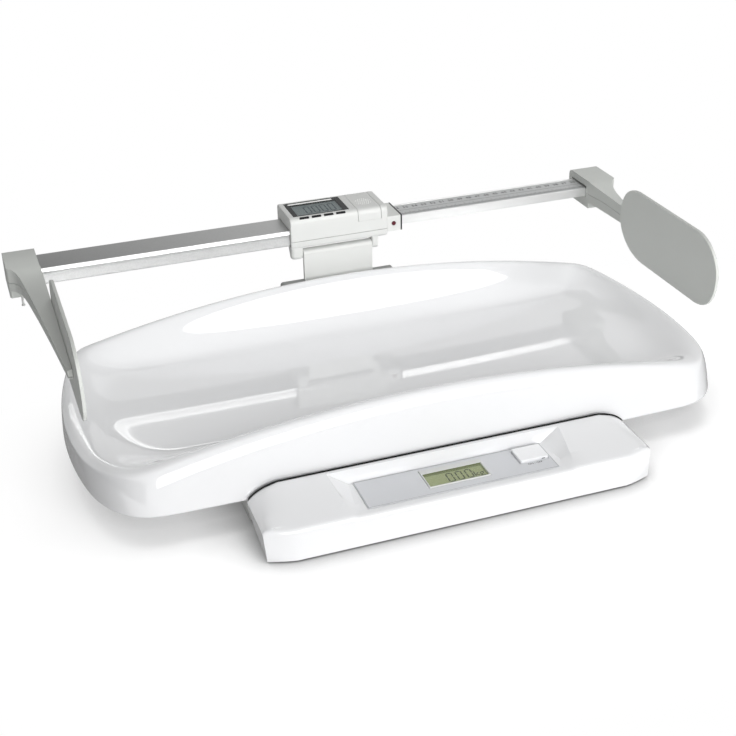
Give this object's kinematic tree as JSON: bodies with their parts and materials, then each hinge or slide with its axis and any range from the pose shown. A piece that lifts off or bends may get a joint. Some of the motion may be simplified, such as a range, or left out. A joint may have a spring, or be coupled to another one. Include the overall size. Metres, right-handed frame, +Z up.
{
  "type": "digital baby weighing scale",
  "caption": "Low console base with display and weigh button, dished infant tray on a load cell, and a hinged measuring rod with display head and sliding foot stop.",
  "frame": {"origin": "on the ground, below the middle of the whole object's box", "axes": "+X to the right along the tray, +Y to the back where the measuring rod is, +Z up"},
  "size_m": [0.6244, 0.3758, 0.1686],
  "materials": {
    "white_gloss": "gloss, moulded",
    "white_satin": "fine satin, moulded",
    "warm_grey": "fine satin, moulded",
    "holder_grey": "fine satin, moulded",
    "panel_grey": "silver grey film, semi-gloss",
    "lcd_green": "reflective display, grey green",
    "lens_clear": "clear, polished",
    "window_smoke": "dark window, polished",
    "display_grey": "reflective display, grey",
    "black_plastic": "matt black",
    "black_rubber": "matt",
    "red_mark": "semi-gloss",
    "rod_aluminium": "satin anodised",
    "cast_aluminium": "as cast and machined",
    "screw_steel": "zinc plated",
    "board_green": "solder resist",
    "cell_wrap": "bare wrap, gloss",
    "strip_grey": "printed ticks and plain numbers"
  },
  "bodies": {
    "base": {"foot_front_left": "black_rubber", "foot_back_left": "black_rubber", "foot_front_right": "black_rubber", "foot_back_right": "black_rubber", "console_cover": "white_gloss", "display_panel": "panel_grey", "display_bezel": "white_gloss", "display_lens": "lens_clear", "display_module": "lcd_green", "main_board": "board_green", "button_switch": "black_plastic", "base_shell": "white_satin", "battery_1": "cell_wrap", "battery_2": "cell_wrap", "battery_3": "cell_wrap", "battery_4": "cell_wrap", "battery_housing": "black_plastic", "battery_contact_left": "screw_steel", "battery_contact_right": "screw_steel", "load_cell": "cast_aluminium", "load_cell_post": "cast_aluminium", "load_cell_base_screw": "screw_steel", "carrier_screw": "screw_steel", "tray_carrier": "cast_aluminium", "base_cover": "white_satin", "rod_holder": "holder_grey", "holder_screw_left": "screw_steel", "holder_screw_right": "screw_steel", "hinge_plate": "white_satin"},
    "tray": {"tray": "white_gloss"},
    "weigh_button": {"weigh_button": "white_gloss"},
    "battery_door": {"battery_door": "white_satin"},
    "measuring_rod": {"hinge_pin": "screw_steel", "head_upper_shell": "white_satin", "head_lower_shell": "white_satin", "head_window": "window_smoke", "head_display": "display_grey", "head_board": "board_green", "coin_cell": "screw_steel", "head_screw": "screw_steel", "outer_rod": "rod_aluminium", "rod_end_cap": "white_satin", "rod_gasket": "black_plastic", "index_mark": "red_mark", "rod_reader": "black_plastic", "head_bracket_upper": "warm_grey", "head_bracket_lower": "warm_grey", "head_bracket_screw": "screw_steel", "head_paddle": "warm_grey"},
    "head_button_1": {"head_button_1": "black_plastic"},
    "head_button_2": {"head_button_2": "black_plastic"},
    "head_button_3": {"head_button_3": "black_plastic"},
    "head_button_4": {"head_button_4": "black_plastic"},
    "head_battery_door": {"head_battery_door": "white_satin"},
    "foot_stop": {"inner_rod": "rod_aluminium", "scale_strip": "strip_grey", "foot_bracket_upper": "warm_grey", "foot_bracket_lower": "warm_grey", "foot_bracket_screw": "screw_steel", "foot_paddle": "warm_grey"}
  },
  "joints": [
    {"name": "tray_lift", "type": "slide", "parent": "base", "child": "tray", "axis": [0, 0, 1], "range_m": [0, 0.01]},
    {"name": "weigh_button_press", "type": "slide", "parent": "base", "child": "weigh_button", "axis": [0, 0, -1], "range_m": [0, 0.0012], "stiffness_N_per_m": 1200, "springref_m": -0.0002},
    {"name": "battery_door_slide", "type": "slide", "parent": "base", "child": "battery_door", "axis": [-1, 0, 0], "range_m": [0, 0.006]},
    {"name": "rod_fold", "type": "hinge", "parent": "base", "child": "measuring_rod", "pos_m": [0.006, 0.1471, 0.11], "axis": [-1, 0, 0], "range_deg": [0, 90]},
    {"name": "head_button_1_press", "type": "slide", "parent": "measuring_rod", "child": "head_button_1", "axis": [0, 0.454, -0.891], "range_m": [0, 0.0005], "stiffness_N_per_m": 1500, "springref_m": -0.0001},
    {"name": "head_button_2_press", "type": "slide", "parent": "measuring_rod", "child": "head_button_2", "axis": [0, 0.454, -0.891], "range_m": [0, 0.0005], "stiffness_N_per_m": 1500, "springref_m": -0.0001},
    {"name": "head_button_3_press", "type": "slide", "parent": "measuring_rod", "child": "head_button_3", "axis": [0, 0.454, -0.891], "range_m": [0, 0.0005], "stiffness_N_per_m": 1500, "springref_m": -0.0001},
    {"name": "head_button_4_press", "type": "slide", "parent": "measuring_rod", "child": "head_button_4", "axis": [0, 0.454, -0.891], "range_m": [0, 0.0005], "stiffness_N_per_m": 1500, "springref_m": -0.0001},
    {"name": "head_battery_door_slide", "type": "slide", "parent": "measuring_rod", "child": "head_battery_door", "axis": [0, -1, 0], "range_m": [0, 0.018]},
    {"name": "foot_stop_slide", "type": "slide", "parent": "measuring_rod", "child": "foot_stop", "axis": [1, 0, 0], "range_m": [-0.205, 0.085]}
  ]
}
